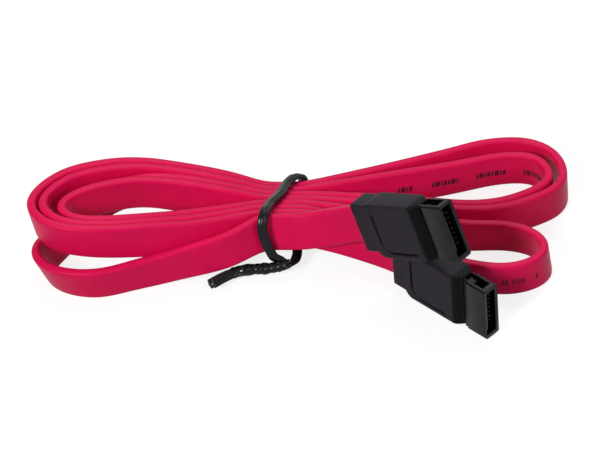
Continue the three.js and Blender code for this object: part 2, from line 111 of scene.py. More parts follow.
# The middle of the tie's twisted ends, from the hank to the cut tips
TIE_AXIS = (
    (-3.6, -9.1, 3.7), (-5.9, -9.4, 3.1), (-8.4, -9.5, 2.7), (-11.4, -9.4, 2.4), (-15.0, -10.2, 2.3),
    (-18.0, -12.2, 2.3), (-20.9, -14.8, 2.3),
)  # fmt: skip


def unit(vectors: np.ndarray) -> np.ndarray:
    """Each row divided by its own length."""
    return vectors / np.maximum(np.linalg.norm(vectors, axis=-1, keepdims=True), 1e-12)


def smoothstep(low: float, high: float, values: np.ndarray) -> np.ndarray:
    """Cubic ease: 0 below low, 1 above high, and 3t squared minus 2t cubed between them."""
    t = np.clip((values - low) / (high - low), 0, 1)
    return t * t * (3 - 2 * t)


def centripetal(places: np.ndarray, shares: int) -> np.ndarray:
    """A centripetal Catmull-Rom curve through the places.

    Each span's tangents come from its neighbours, each weighed by the square root of its
    length, and a cubic with those tangents joins the two ends.

    Args:
        places: The places, one row each.
        shares: How many points each span gets.

    Returns:
        The curve's points, the last place included.
    """
    first, last = 2 * places[0] - places[1], 2 * places[-1] - places[-2]
    p = np.vstack([first, places, last])
    p0, p1, p2, p3 = p[:-3], p[1:-2], p[2:-1], p[3:]
    root = np.sqrt(np.maximum(np.linalg.norm(np.diff(p[:, :3], axis=0), axis=1), 1e-9))[:, None]
    d0, d1, d2 = root[:-2], root[1:-1], root[2:]
    m1 = ((p1 - p0) / d0 - (p2 - p0) / (d0 + d1) + (p2 - p1) / d1) * d1
    m2 = ((p2 - p1) / d1 - (p3 - p1) / (d1 + d2) + (p3 - p2) / d2) * d1
    w = (np.arange(shares) / shares)[None, :, None]
    a, b, c, d = (x[:, None] for x in (p1, m1, -3 * p1 + 3 * p2 - 2 * m1 - m2, 2 * p1 - 2 * p2 + m1 + m2))
    return np.vstack([(a + b * w + c * w**2 + d * w**3).reshape(-1, places.shape[1]), places[-1:]])


def evenly(points: np.ndarray, spacing: float, blur: float = 0.0) -> np.ndarray:
    """The line again at an even spacing, softened by a Gaussian along its length.

    Args:
        points: The line, with x, y and z in its first three columns.
        spacing: The distance between its new points.
        blur: The Gaussian's standard deviation, in the same unit.

    Returns:
        The new line, with every column carried along and both ends kept.
    """
    along = np.r_[0, np.cumsum(np.linalg.norm(np.diff(points[:, :3], axis=0), axis=1))]
    at = np.linspace(0, along[-1], int(round(along[-1] / spacing)) + 1)
    line = np.stack([np.interp(at, along, column) for column in points.T], axis=1)
    if not blur:
        return line
    reach = int(4 * blur / spacing)
    weights = np.exp(-0.5 * (np.arange(-reach, reach + 1) * spacing / blur) ** 2)
    weights /= weights.sum()
    before = 2 * line[0] - line[reach:0:-1]
    after = 2 * line[-1] - line[-2 : -reach - 2 : -1]
    padded = np.vstack([before, line, after])
    return np.stack([np.convolve(column, weights, mode="valid") for column in padded.T], axis=1)


def rounded_section(
    across: float, up: float, corner: float, steps: int, flats: tuple[int, int], crown: float = 0.0
) -> np.ndarray:
    """A rectangle with round corners and faintly swollen long sides.

    Args:
        across: Its first side.
        up: Its second, longer side.
        corner: The radius of its corners.
        steps: How many points each corner's quarter circle gets.
        flats: How many points lie between two corners, on the low and on the high long side.
        crown: How far the middle of a long side stands out.

    Returns:
        The outline's points, turning counter-clockwise, in two columns.
    """
    quarter = np.linspace(0, math.pi / 2, steps)
    arcs = []
    for k, (sx, sy) in enumerate(((1, 1), (-1, 1), (-1, -1), (1, -1))):
        centre = np.array([sx * (across / 2 - corner), sy * (up / 2 - corner)])
        turn = quarter + k * math.pi / 2
        arcs.append(centre + corner * np.stack([np.cos(turn), np.sin(turn)], axis=1))
    low, high = ((np.arange(1, count + 1) / (count + 1))[:, None] for count in flats)
    left = arcs[1][-1] + (arcs[2][0] - arcs[1][-1]) * low
    right = arcs[3][-1] + (arcs[0][0] - arcs[3][-1]) * high
    outline = np.vstack([arcs[0], arcs[1], left, arcs[2], arcs[3], right])
    swell = crown * np.maximum(0, 1 - (outline[:, 1] / (up / 2)) ** 2)
    outline[:, 0] += np.sign(outline[:, 0]) * swell * (np.abs(outline[:, 0]) > across / 2 - corner)
    return outline


def swept(points: np.ndarray, first: np.ndarray, second: np.ndarray, outline: np.ndarray) -> np.ndarray:
    """An outline carried along a path: point + first axis times u + second axis times v."""
    u, v = outline[None, :, 0, None], outline[None, :, 1, None]
    return points[:, None] + first[:, None] * u + second[:, None] * v


def tube_faces(rings: int, sides: int, ring_shaped: bool = False) -> list[tuple[int, ...]]:
    """Quads round a tube of rings, each with the same number of sides.

    Args:
        rings: How many rings the tube has.
        sides: How many points each ring has.
        ring_shaped: Whether the last ring joins the first; otherwise each end gets a cap.

    Returns:
        The vertex numbers of each face.
    """
    ring, side = np.meshgrid(np.arange(rings if ring_shaped else rings - 1), np.arange(sides), indexing="ij")
    ahead, beside = (ring + 1) % rings * sides, (side + 1) % sides
    here = ring * sides
    quads = np.stack([here + side, here + beside, ahead + beside, ahead + side], axis=-1).reshape(-1, 4)
    caps = [tuple(range(sides - 1, -1, -1)), tuple(range((rings - 1) * sides, rings * sides))]
    return [*map(tuple, quads.tolist()), *([] if ring_shaped else caps)]


def new_piece(
    name: str, vertices: np.ndarray, faces: list[tuple[int, ...]], smooth: bool = True
) -> bpy.types.Object:
    """A mesh object at the origin.

    Args:
        name: The object's and the mesh's name.
        vertices: The vertices in millimetres, one row each.
        faces: The vertex numbers of each face, turning counter-clockwise seen from outside.
        smooth: Whether its faces are shaded smooth.

    Returns:
        The object, linked to the scene.
    """
    mesh = bpy.data.meshes.new(name)
    mesh.from_pydata((vertices.reshape(-1, 3) * MM).tolist(), [], faces)
    mesh.validate()
    if smooth:
        mesh.shade_smooth()
    piece = bpy.data.objects.new(name, mesh)
    bpy.context.collection.objects.link(piece)
    return piece


class Term:
    """A number socket that adds Math nodes as Python works out an expression with it."""

    def __init__(self, tree: "Shades", socket: bpy.types.NodeSocket) -> None:
        """Wraps a socket of the given tree."""
        self.tree = tree
        self.socket = socket

    def math(self, operation: str, *others: "Term | float") -> "Term":
        """One Math node on this term and the others."""
        node = self.tree.node("ShaderNodeMath", {"operation": operation})
        for slot, value in zip(node.inputs, (self, *others)):
            self.tree.feed(slot, value)
        return Term(self.tree, node.outputs[0])

    def __add__(self, other: "Term | float") -> "Term":
        """The sum."""
        return self.math("ADD", other)

    def __mul__(self, other: "Term | float") -> "Term":
        """The product."""
        return self.math("MULTIPLY", other)

    def eased(self, low: float, high: float) -> "Term":
        """0 below low and 1 above high, with an even ramp between them."""
        node = self.tree.node(
            "ShaderNodeMapRange",
            {"clamp": True},
            {"Value": self, "From Min": low, "From Max": high},
        )
        return Term(self.tree, node.outputs["Result"])


class Shades:
    """A material's nodes, with one method for each kind of need."""

    def __init__(self, name: str) -> None:
        """Starts an empty material with an output and a Principled shader."""
        self.material = bpy.data.materials.new(name)
        self.material.use_nodes = True
        self.nodes = self.material.node_tree.nodes
        self.links = self.material.node_tree.links
        self.nodes.clear()
        self.shader = self.node("ShaderNodeBsdfPrincipled")
        output = self.node("ShaderNodeOutputMaterial")
        self.links.new(self.shader.outputs[0], output.inputs[0])

    def node(self, kind: str, settings: dict | None = None, inputs: dict | None = None) -> bpy.types.Node:
        """A node of the kind, with its settings made first and then its sockets fed.

        Args:
            kind: The node's type name.
            settings: Its properties by name.
            inputs: A value or link for each named or numbered socket.

        Returns:
            The new node.
        """
        node = self.nodes.new(kind)
        for name, value in (settings or {}).items():
            setattr(node, name, value)
        for name, value in (inputs or {}).items():
            self.feed(node.inputs[name], value)
        return node

    def feed(self, socket: bpy.types.NodeSocket, value: object) -> None:
        """Links a term or an output to the socket, or sets a plain value on it."""
        if isinstance(value, Term):
            self.links.new(value.socket, socket)
        elif isinstance(value, bpy.types.NodeSocket):
            self.links.new(value, socket)
        else:
            socket.default_value = value

    def noise(self, vector: object, scale: float, detail: float = 2.0, roughness: float = 0.5) -> Term:
        """Fractal noise over a vector."""
        node = self.node(
            "ShaderNodeTexNoise",
            {"noise_dimensions": "3D"},
            {"Vector": vector, "Scale": scale, "Detail": detail, "Roughness": roughness},
        )
        return Term(self, node.outputs[0])

    def place(self) -> bpy.types.NodeSocket:
        """The Object coordinates, in metres."""
        return self.node("ShaderNodeTexCoord").outputs["Object"]

    def along(self, stretch: tuple[float, float, float]) -> bpy.types.NodeSocket:
        """The piece's own UV map, stretched."""
        spot = self.node("ShaderNodeUVMap", {"uv_map": "strip"}).outputs[0]
        return self.node("ShaderNodeVectorMath", {"operation": "MULTIPLY"}, {0: spot, 1: stretch}).outputs[0]

    def blend(self, factor: Term, first: object, second: object) -> bpy.types.NodeSocket:
        """A colour that goes from the first to the second with the factor."""
        node = self.node("ShaderNodeMix", {"data_type": "RGBA", "clamp_factor": True})
        self.feed(node.inputs[0], factor)
        self.feed(node.inputs[6], first)
        self.feed(node.inputs[7], second)
        return node.outputs[2]

    def bump(self, height: Term, strength: float, distance: float) -> None:
        """Feeds the shader's normal from a height, in metres."""
        node = self.node(
            "ShaderNodeBump", None, {"Height": height, "Strength": strength, "Distance": distance}
        )
        self.feed(self.shader.inputs["Normal"], node.outputs[0])

    def base(self, colour: object, roughness: object, **constants: float) -> None:
        """Feeds the shader's colour and roughness, and sets its other numbers."""
        self.feed(self.shader.inputs["Base Color"], colour)
        self.feed(self.shader.inputs["Roughness"], roughness)
        for name, value in constants.items():
            self.shader.inputs[name.replace("_", " ")].default_value = value


@dataclass(frozen=True)
class Vinyl:
    """Soft red PVC of the jacket, with faint lines left by the die and a satin skin."""

    colour: tuple[float, float, float, float] = (0.70, 0.004, 0.078, 1)
    worn: tuple[float, float, float, float] = (0.74, 0.006, 0.088, 1)
    roughness: float = 0.42

    def material(self) -> bpy.types.Material:
        """The finish as a material that reads the strip's own UV map."""
        shades = Shades("red_vinyl")
        lines = shades.noise(shades.along((6.0, 2600.0, 0.0)), 1.0, 2.0, 0.6)
        mottle = shades.noise(shades.place(), 260.0, 3.0, 0.55)
        peel = shades.noise(shades.place(), 2600.0, 2.0, 0.5)
        colour = shades.blend(mottle.eased(0.35, 0.75), self.colour, self.worn)
        shades.base(colour, mottle * 0.1 + (self.roughness - 0.05), Specular_IOR_Level=0.1)
        shades.bump(lines * 0.5 + peel * 0.5, 0.35, 0.00004)
        return shades.material


@dataclass(frozen=True)
class Moulding:
    """Satin black plastic with a fine spark-eroded grain, and painted shade where a piece marks it."""

    name: str = "plug_black"
    colour: tuple[float, float, float, float] = (0.016, 0.013, 0.0185, 1)
    rubbed: tuple[float, float, float, float] = (0.022, 0.0185, 0.0245, 1)
    # Painted shade: the near-black colour laid where a piece marks its neck band, engraved line or inner
    # hollows.
    hollow_painted_shade: tuple[float, float, float, float] = (0.001, 0.0008, 0.0012, 1)
    roughness: float = 0.5
    shine: float = 0.07
    grain: float = 0.00003

    def material(self) -> bpy.types.Material:
        """The finish as a material with painted shade: near black where the piece's painted-shade attribute
        is 1.
        """
        shades = Shades(self.name)
        mottle = shades.noise(shades.place(), 420.0, 3.0, 0.6)
        grain = shades.noise(shades.place(), 5200.0, 2.0, 0.6)
        painted_shade = Term(shades, shades.node("ShaderNodeAttribute", {"attribute_name": "painted_shade"}).outputs["Fac"])
        colour = shades.blend(mottle.eased(0.4, 0.7), self.colour, self.rubbed)
        # Painted shade: the colour goes to near black with the piece's painted-shade attribute.
        colour = shades.blend(painted_shade, colour, self.hollow_painted_shade)
        shades.base(colour, mottle * 0.14 + (self.roughness - 0.07), Specular_IOR_Level=self.shine)
        shades.bump(grain, 0.4, self.grain)
        return shades.material


@dataclass(frozen=True)
class Gloss:
    """The tie's glossy black plastic skin, faintly drawn along its length."""

    colour: tuple[float, float, float, float] = (0.004, 0.0035, 0.005, 1)
    dull: tuple[float, float, float, float] = (0.008, 0.0065, 0.009, 1)

    def material(self) -> bpy.types.Material:
        """The finish as a material that reads the ribbon's own UV map."""
        shades = Shades("tie_gloss")
        drawn = shades.noise(shades.along((30.0, 900.0, 0.0)), 1.0, 3.0, 0.6)
        colour = shades.blend(drawn.eased(0.35, 0.7), self.colour, self.dull)
        shades.base(colour, drawn * 0.18 + 0.16, Specular_IOR_Level=0.16)
        shades.bump(drawn, 0.4, 0.00005)
        return shades.material


@dataclass(frozen=True)
class Metal:
    """A drawn or plated metal with fine lines and a little tarnish."""

    name: str
    colour: tuple[float, float, float, float]
    dull: tuple[float, float, float, float]
    roughness: float = 0.25

    def material(self) -> bpy.types.Material:
        """The finish as a material."""
        shades = Shades(self.name)
        tarnish = shades.noise(shades.place(), 1500.0, 3.0, 0.6)
        colour = shades.blend(tarnish.eased(0.35, 0.75), self.colour, self.dull)
        shades.base(colour, tarnish * 0.2 + (self.roughness - 0.08), Metallic=1.0)
        shades.bump(tarnish, 0.2, 0.00002)
        return shades.material


@dataclass(frozen=True)
class Insulation:
    """Pale plastic on the wires and the inner moulds, a little cloudy."""

    name: str
    colour: tuple[float, float, float, float]
    shade: tuple[float, float, float, float]

    def material(self) -> bpy.types.Material:
        """The finish as a material."""
        shades = Shades(self.name)
        cloud = shades.noise(shades.place(), 900.0, 3.0, 0.5)
        colour = shades.blend(cloud.eased(0.3, 0.8), self.colour, self.shade)
        shades.base(colour, cloud * 0.15 + 0.4)
        shades.bump(cloud, 0.2, 0.00003)
        return shades.material


@dataclass(frozen=True)
class Ink:
    """Matt black ink, thin enough to let a little red through."""

    colour: tuple[float, float, float, float] = (0.06, 0.005, 0.014, 1)
    thin: tuple[float, float, float, float] = (0.20, 0.006, 0.026, 1)

    def material(self) -> bpy.types.Material:
        """The finish as a material."""
        shades = Shades("print_ink")
        patchy = shades.noise(shades.place(), 2200.0, 3.0, 0.6)
        colour = shades.blend(patchy.eased(0.45, 0.8), self.colour, self.thin)
        shades.base(colour, 0.55, Specular_IOR_Level=0.1)
        return shades.material


class Side(Enum):
    """A broad face of the strip, seen along the way from plug B to plug A."""

    LEFT = 1
    RIGHT = -1


@dataclass(frozen=True)
class Plug:
    """Where a plug lies, and the turn from its own axes to the row's.

    X runs out of the nose, Y up the width and Z out of the marked broad face.
    """

    letter: str
    face: tuple[float, float, float]
    heading: float
    pitch: float
    roll: float

    def turn(self) -> np.ndarray:
        """The rotation about Z by the heading, Y by minus the pitch and X by 90 plus the roll."""
        about = ((self.heading, "Z"), (-self.pitch, "Y"), (90 + self.roll, "X"))
        turn = Matrix.Identity(3)
        for degrees, axis in about:
            turn = turn @ Matrix.Rotation(math.radians(degrees), 3, axis)
        return np.array(turn)

    def place(self, points: np.ndarray) -> np.ndarray:
        """Points on the plug's own axes, moved to the row's."""
        return points @ self.turn().T + np.array(self.face)


PLUG_A = Plug("a", (33.2, -27.8, 28.0), -42, 24, 4)
PLUG_B = Plug("b", (41.8, -31.0, 7.65), -45, 1, 5)


@dataclass
class Strip:
    """The jacket: a rounded flat section carried along the folded route."""

    width: float = 9.0
    thickness: float = 2.0
    corner: float = 0.62
    crown: float = 0.03
    spacing: float = 0.8
    blur: float = 1.9
    shares: int = 24
    corner_steps: int = 5
    flats: tuple[int, int] = (7, 7)
    hidden: tuple[float, float] = (22.0, 23.5)
    points: np.ndarray = field(init=False)
    through: np.ndarray = field(init=False)
    across: np.ndarray = field(init=False)

    def __post_init__(self) -> None:
        """Works out the stations and the strip's two axes at each of them.

        Left is Z crossed with the way along; the strip's two axes are left and the
        upward normal, turned about the way along by the lean.
        """
        ends = [
            plug.place(np.array([[-back, 0, 0]]))[0] for plug, back in zip((PLUG_B, PLUG_A), self.hidden)
        ]
        rows = np.array([(*ends[0], PLUG_B.roll), *ROUTE, (*ends[1], -PLUG_A.roll)], dtype=float)
        curve = centripetal(rows[:, :3], self.shares)
        lean = np.interp(np.arange(len(curve)) / self.shares, np.arange(len(rows)), rows[:, 3])
        line = evenly(np.column_stack([curve, lean]), self.spacing, self.blur)
        self.points = line[:, :3]
        ahead = unit(np.gradient(self.points, axis=0))
        left = unit(np.stack([-ahead[:, 1], ahead[:, 0], 0 * ahead[:, 0]], axis=1))
        up = np.cross(ahead, left)
        lean = np.radians(line[:, 3])[:, None]
        self.across = np.cos(lean) * up + np.sin(lean) * left
        self.through = np.cos(lean) * left - np.sin(lean) * up

    @property
    def length(self) -> float:
        """The length of the middle line."""
        return float(np.linalg.norm(np.diff(self.points, axis=0), axis=1).sum())

    def build(self, skin: bpy.types.Material) -> bpy.types.Object:
        """The strip as one closed tube, with a UV map in metres along and across it."""
        outline = rounded_section(
            self.thickness, self.width, self.corner, self.corner_steps, self.flats, self.crown
        )
        rings = swept(self.points, self.through, self.across, outline)
        piece = new_piece("jacket", rings, tube_faces(*rings.shape[:2]))
        map_strip(piece, self.points, outline)
        piece.data.materials.append(skin)
        return piece


def map_strip(piece: bpy.types.Object, points: np.ndarray, outline: np.ndarray) -> None:
    """Gives a tube a UV map: the distance along its path, and round its outline, in metres.

    Args:
        piece: The tube, with its rings in order.
        points: The path that its rings follow.
        outline: The section's outline.
    """
    along = np.r_[0, np.cumsum(np.linalg.norm(np.diff(points, axis=0), axis=1))] * MM
    around = np.r_[0, np.cumsum(np.linalg.norm(np.diff(outline, axis=0), axis=1))] * MM
    closing = around[-1] + np.linalg.norm(outline[0] - outline[-1]) * MM
    mesh = piece.data
    corners = np.empty(len(mesh.loops), dtype=np.int64)
    mesh.loops.foreach_get("vertex_index", corners)
    ring, side = corners // len(outline), corners % len(outline)
    u, v = along[ring], around[side]
    starts = np.repeat(np.arange(len(mesh.polygons)), [p.loop_total for p in mesh.polygons])
    last = np.zeros(len(mesh.polygons), dtype=bool)
    np.logical_or.at(last, starts, side == len(outline) - 1)
    v = np.where(last[starts] & (side == 0), closing, v)
    layer = mesh.uv_layers.new(name="strip")
    layer.data.foreach_set("uv", np.stack([u, v], axis=1).ravel())


@dataclass
class Grip:
    """A plug's overmould: a body that slopes to the neck, a collar, a bore and an engraved line.

    Its rings run over the outside from the front to the collar's end, in through the cable's
    entry and forward along the bore, so the skin is one closed surface with a hole along it.
    The places front, rear, end and line_rear are distances behind the mating face.
    """

    plug: Plug
    front: float = 6.9
    rear: float = 23.9
    end: float = 27.6
    width: float = 14.0
    thickness: float = 6.0
    rim: float = 0.5
    front_corner: float = 0.6
    rear_corner: float = 2.1
    shelf: float = 0.5
    slope: float = 1.9
    drop: float = 1.36
    collar_low: float = -5.6
    collar_high: float = 6.7
    collar_far: float = -2.6
    collar_near: float = 2.92
    collar_rim: float = 0.35
    collar_corner: float = 0.5
    collar_steps: tuple[float, float, float] = (3.6, 3.2, 1.5)
    bore: tuple[float, float] = (12.6, 3.2)
    bore_corner: float = 0.2
    bore_length: float = 5.2
    chamber: tuple[float, float] = (12.6, 3.8)
    chamber_corner: float = 0.3
    chamber_wall: float = 2.6
    entry: tuple[float, float] = (9.6, 2.6)
    entry_corner: float = 0.5
    mouth_corner: float = 0.6
    ease: float = 0.12
    line_rear: float = 21.7
    line_edge: float = 1.5
    line_bend: float = 2.9
    line_top: float = 4.2
    line_end: float = 4.8
    line_depth: float = 0.55
    line_width: float = 0.5
    line_slopes: tuple[float, float] = (0.6, 1.3)
    line_step: float = 0.13
    line_points: tuple[int, int] = (60, 24)
    fine_start: float = 3.6
    fine_past: float = 0.6
    coarse_gap: float = 0.3
    coarse_step: float = 0.4
    slope_points: int = 18
    tail_points: int = 16
    tail_power: float = 1.6
    corner_points: int = 6
    flats: tuple[int, int] = (20, 100)
    marks_start: float = 3.0
    # Where the neck band's painted shade has faded out, behind the front.
    shade_end: float = 3.0
    margin: float = 0.02

    def outer(self, x: np.ndarray) -> tuple[np.ndarray, np.ndarray, np.ndarray, np.ndarray]:
        """The body's low edge, high edge, far face and near face at each place behind the mating face.

        Each rounded end follows a circle: radius minus the root of radius squared less the
        missing distance squared. The front falls to a low shelf by the drop, as a quarter sine,
        and over the rear corner both faces ease to the collar's.
        """
        ahead, behind = x - self.front, self.rear - x

        def lost(radius: float, distance: np.ndarray) -> np.ndarray:
            """How far a round end of this radius pulls in, at a distance from the end."""
            missing = np.clip(radius - distance, 0, radius)
            return radius - np.sqrt(radius**2 - missing**2)

        half_width = self.width / 2 - lost(self.front_corner, ahead) - lost(self.rear_corner, behind)
        fall = self.drop * (1 - np.sin(math.pi / 2 * np.clip((ahead - self.shelf) / self.slope, 0, 1)))
        left, half = 1 - smoothstep(0, self.rear_corner, behind), self.thickness / 2
        low, high = np.minimum(-half_width, self.collar_low), np.maximum(half_width, self.collar_high)
        far = fall - half + (half + self.collar_far) * left
        near = half - fall - (half - self.collar_near) * left
        return low, high, far, near

    def line(self) -> np.ndarray:
        """The engraved line's middle: down the rear, round the lower corner and forward."""
        rear, bend, edge = self.line_rear, self.line_bend, -self.width / 2 + self.line_edge
        straight, round_points = self.line_points
        turn = np.linspace(0, math.pi / 2, round_points)
        arc = np.stack([rear - bend + bend * np.cos(turn), edge + bend - bend * np.sin(turn)], axis=1)
        heights = np.linspace(self.line_top, edge + bend, straight)
        places = np.linspace(rear - bend, self.front + self.line_end, straight)
        down = np.stack([np.full(straight, rear), heights], axis=1)
        forward = np.stack([places, np.full(straight, edge)], axis=1)
        return np.vstack([down, arc, forward])

    def rings(self) -> np.ndarray:
        """The outlines in order, as x behind the face, width y and thickness z."""

        def ring(
            x: float, width: float, thickness: float, corner: float, y: float = 0, z: float = 0
        ) -> np.ndarray:
            """One outline across the plug, with its own middle at y and z."""
            outline = rounded_section(thickness, width, corner, self.corner_points, self.flats)
            return np.column_stack([np.full(len(outline), x), outline[:, 1] + y, outline[:, 0] + z])

        ease, step, reach = self.ease, self.bore_length, self.shelf + self.slope
        fine = np.arange(self.front + self.fine_start, self.line_rear + self.fine_past, self.line_step)
        sloped = self.front + np.linspace(0, reach, self.slope_points)
        coarse = np.arange(self.front + reach + self.coarse_gap, fine[0], self.coarse_step)
        left = np.linspace(1, 0, self.tail_points) ** self.tail_power
        tail = self.rear - (self.rear - fine[-1] - self.line_step) * left
        places = np.concatenate([sloped, coarse, fine, tail])
        body = []
        for x, low, high, far, near in zip(places, *self.outer(places)):
            corner = min(self.rim, (near - far) / 2 - self.margin)
            body.append(ring(x, high - low, near - far, corner, (high + low) / 2, (near + far) / 2))
        width, thickness = self.collar_high - self.collar_low, self.collar_near - self.collar_far
        y, z = (self.collar_high + self.collar_low) / 2, (self.collar_near + self.collar_far) / 2
        turns = self.collar_rim * (1 - np.sin(np.linspace(0, math.pi / 2, self.corner_points)))
        lost = self.collar_rim - np.sqrt(self.collar_rim**2 - (self.collar_rim - turns) ** 2)
        collar = [
            ring(self.end - left, width - 2 * gone, thickness - 2 * gone, self.collar_corner, y, z)
            for left, gone in zip((*self.collar_steps, *turns), (0, 0, 0, *lost))
        ]
        inside = [
            ring(self.end, self.entry[0] + 2 * ease, self.entry[1] + 2 * ease, self.mouth_corner),
            ring(self.end - ease, *self.entry, self.entry_corner),
            ring(self.rear - self.chamber_wall, *self.entry, self.entry_corner),
            ring(self.rear - self.chamber_wall, *self.chamber, self.chamber_corner),
            ring(self.front + step, *self.chamber, self.chamber_corner),
            ring(self.front + step, *self.bore, self.bore_corner),
            ring(self.front + ease, *self.bore, self.bore_corner),
        ]
        return np.array([*body, *collar, *inside])

    def build(self, skin: bpy.types.Material) -> bpy.types.Object:
        """The grip as one closed mesh with painted shade, its line pressed in where a point lies close to
        it.
        """
        rings = self.rings()
        flat = rings.reshape(-1, 3)
        on_face = flat[:, 2] > self.thickness / 2 - self.margin
        marked = on_face & (flat[:, 0] > self.front + self.marks_start)
        gap = np.linalg.norm(flat[marked, None, :2] - self.line()[None], axis=2).min(axis=1)
        inner, outer = (share * (self.line_width / 2) for share in self.line_slopes)
        pressed = 1 - smoothstep(inner, outer, gap)
        flat[marked, 2] -= self.line_depth * pressed
        # Painted shade: 1 over the neck band at the front, fading out behind it, and as strong as the
        # pressing along the engraved line.
        shade = 1 - smoothstep(self.slope, self.shade_end, flat[:, 0] - self.front)
        shade[marked] = np.maximum(shade[marked], pressed)
        points = self.plug.place(flat * (-1, 1, 1))
        faces = tube_faces(*rings.shape[:2], ring_shaped=True)
        piece = new_piece(f"plug_{self.plug.letter}_moulding", points, faces)
        piece.data.attributes.new("painted_shade", "FLOAT", "POINT").data.foreach_set("value", shade)
        piece.data.set_sharp_from_angle(angle=SHARP_ANGLE)
        piece.data.materials.append(skin)
        return piece


@dataclass
class Insulator:
    """A plug's nose with its keyed slot, as the CAD has it, with its sharp edges eased."""

    plug: Plug
    ease: float = 0.17
    merge: float = 1e-6
    flat_angle: float = 1
    edge_angle: float = 35
    rim_depth: float = 0.2
    # Half-sizes of the hollow whose faces past the rim get painted shade.
    hollow_painted_shade: tuple[float, float] = (6.95, 1.95)

    def build(self, skin: bpy.types.Material) -> bpy.types.Object:
        """A merged copy of the housing's node under a bevel, with painted shade on its inner faces."""
        mesh = bpy.data.objects[f"plug_{self.plug.letter}_housing"].data.copy()
        work = bmesh.new()
        work.from_mesh(mesh)
        bmesh.ops.remove_doubles(work, verts=work.verts, dist=self.merge)
        flat_limit = math.radians(self.flat_angle)
        bmesh.ops.dissolve_limit(work, angle_limit=flat_limit, verts=work.verts, edges=work.edges)
        work.to_mesh(mesh)
        work.free()
        middles = np.empty(3 * len(mesh.polygons))
        mesh.polygons.foreach_get("center", middles)
        spot = np.abs((middles.reshape(-1, 3) / MM - self.plug.face) @ self.plug.turn())
        # Painted shade: faces past the rim depth and inside the hollow get 1.
        inside = (spot[:, 0] > self.rim_depth) & (spot[:, 1:] < self.hollow_painted_shade).all(axis=1)
        mesh.attributes.new("painted_shade", "FLOAT", "FACE").data.foreach_set("value", inside.astype(float))
        mesh.materials.clear()
        mesh.materials.append(skin)
        mesh.shade_smooth()
        piece = bpy.data.objects.new(f"plug_{self.plug.letter}_nose", mesh)
        bpy.context.collection.objects.link(piece)
        bevel = piece.modifiers.new("eased_edges", "BEVEL")
        bevel.width = self.ease * MM
        bevel.segments = 2
        bevel.limit_method = "ANGLE"
        bevel.angle_limit = math.radians(self.edge_angle)
        bevel.harden_normals = True
        return piece


@dataclass
class Tie:
    """The twist tie: a winged ribbon with a bead over its wire, twisted on itself at its ends."""

    width: float = 2.3
    wing: float = 0.72
    corner: float = 0.3
    bead: float = 0.24
    bead_spread: float = 0.5
    lay: float = 0.75
    turns: float = 1.75
    crumple: float = 0.3
    waves: int = 3
    twisted: float = 0.72
    facing: tuple[float, float, float] = (0.0, 1.0, 1.0)
    trim: float = 0.45
    wire: float = 0.2
    wire_sides: int = 12
    shares: int = 24
    spacing: float = 0.18
    blur: float = 0.5

    def stations(self) -> np.ndarray:
        """The ribbon's middle and its face direction, in six columns, from tip to tip.

        Both twisted ends share one axis, and each lies to its own side of it. That side turns
        about the axis by the turns times the share of the twist, plus the crumple times the
        sine of the waves, until the twist ends.
        """
        axis = centripetal(np.array(TIE_AXIS, dtype=float), self.shares)
        ahead = unit(np.gradient(axis, axis=0))
        facing = np.array(self.facing)
        flat = unit(facing - ahead * (ahead @ facing)[:, None])
        t = np.linspace(0, 1, len(axis))
        share = np.minimum(t / self.twisted, 1)
        uneven = self.crumple * np.sin(share * self.waves * 2 * math.pi)
        turn = -(share * self.turns * 2 * math.pi + uneven)[:, None]
        face = flat * np.cos(turn) + np.cross(ahead, flat) * np.sin(turn)
        into = np.hstack([axis + self.lay * face, face])[::-1]
        out = np.hstack([axis - self.lay * face, face])
        loop = centripetal(np.array(TIE_LOOP, dtype=float), self.shares)
        way = unit(np.gradient(loop, axis=0))
        inward = unit(np.cross(np.array([-1.0, 0.0, 0.0]), way))
        return np.vstack([into, np.hstack([loop, inward]), out])

    def along(
        self, name: str, outline: np.ndarray, skin: bpy.types.Material, trim: float
    ) -> bpy.types.Object:
        """A closed tube along the tie.

        Args:
            name: The piece's name.
            outline: The section: first axis out of the ribbon's face, second axis across it.
            skin: The piece's finish.
            trim: How much is cut off at both tips.

        Returns:
            The piece.
        """
        line = evenly(self.stations(), self.spacing, self.blur)
        cut = int(round(trim / self.spacing))
        line = line[cut : len(line) - cut]
        points, ahead = line[:, :3], unit(np.gradient(line[:, :3], axis=0))
        face = unit(line[:, 3:] - ahead * (line[:, 3:] * ahead).sum(axis=1)[:, None])
        rings = swept(points, face, np.cross(ahead, face), outline)
        piece = new_piece(name, rings, tube_faces(*rings.shape[:2]))
        piece.data.set_sharp_from_angle(angle=SHARP_ANGLE)
        map_strip(piece, points, outline)
        piece.data.materials.append(skin)
        return piece

    def build(self, skin: bpy.types.Material) -> bpy.types.Object:
        """The ribbon, trimmed so that the wire's ends show."""
        outline = rounded_section(self.wing, self.width, self.corner, 5, (9, 9))
        swell = self.bead * np.exp(-((outline[:, 1] / self.bead_spread) ** 2))
        outline[:, 0] += np.sign(outline[:, 0]) * swell
        return self.along("tie", outline, skin, self.trim)

    def build_wire(self, skin: bpy.types.Material) -> bpy.types.Object:
        """The round wire inside the ribbon."""
        turn = np.arange(self.wire_sides) / self.wire_sides * 2 * math.pi
        outline = self.wire * np.stack([np.cos(turn), np.sin(turn)], axis=1)
        return self.along("iron_wire", outline, skin, 0)


